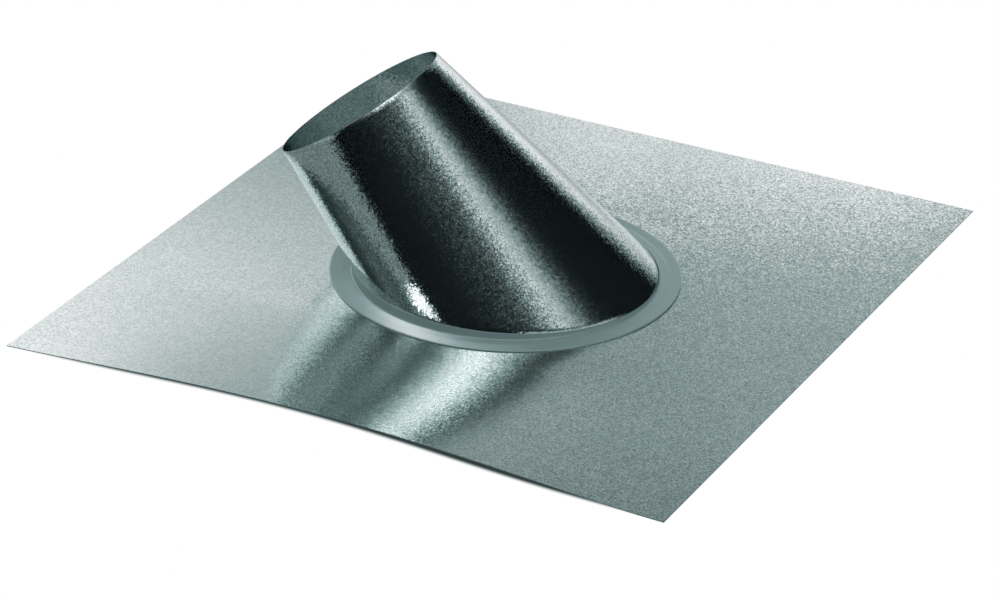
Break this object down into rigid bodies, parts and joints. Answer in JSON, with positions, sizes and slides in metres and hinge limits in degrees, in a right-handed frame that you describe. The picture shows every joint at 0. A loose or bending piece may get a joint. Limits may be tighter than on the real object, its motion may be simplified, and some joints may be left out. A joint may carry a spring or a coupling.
{
  "type": "pipe roof flashing",
  "caption": "Sheet-metal roof flashing: a flat base sheet with a leaning tapered collar that seals round a vent pipe on a pitched roof.",
  "frame": {"origin": "centre of the round pipe hole, on the roof plane (underside of the base sheet)", "axes": "+Z away from the roof, +Y towards the up-slope edge (the collar leans this way), +X across the slope"},
  "size_m": [0.66, 0.6, 0.1842],
  "materials": {
    "galvanised_sheet": "zinc-coated sheet with a fine spangle, satin",
    "galvanised_cone": "zinc-coated sheet with a fine spangle, semi-bright",
    "spun_ring": "smooth spun zinc-coated sheet, satin",
    "sealant": "grey butyl sealant, matt",
    "rivet": "plain"
  },
  "bodies": {
    "root": {"base_sheet": "galvanised_sheet", "cone": "galvanised_cone", "lock_ring": "spun_ring", "ring_sealant": "sealant", "seam_rivet_1": "rivet", "seam_rivet_2": "rivet", "seam_rivet_3": "rivet", "seam_rivet_4": "rivet"}
  },
  "joints": []
}
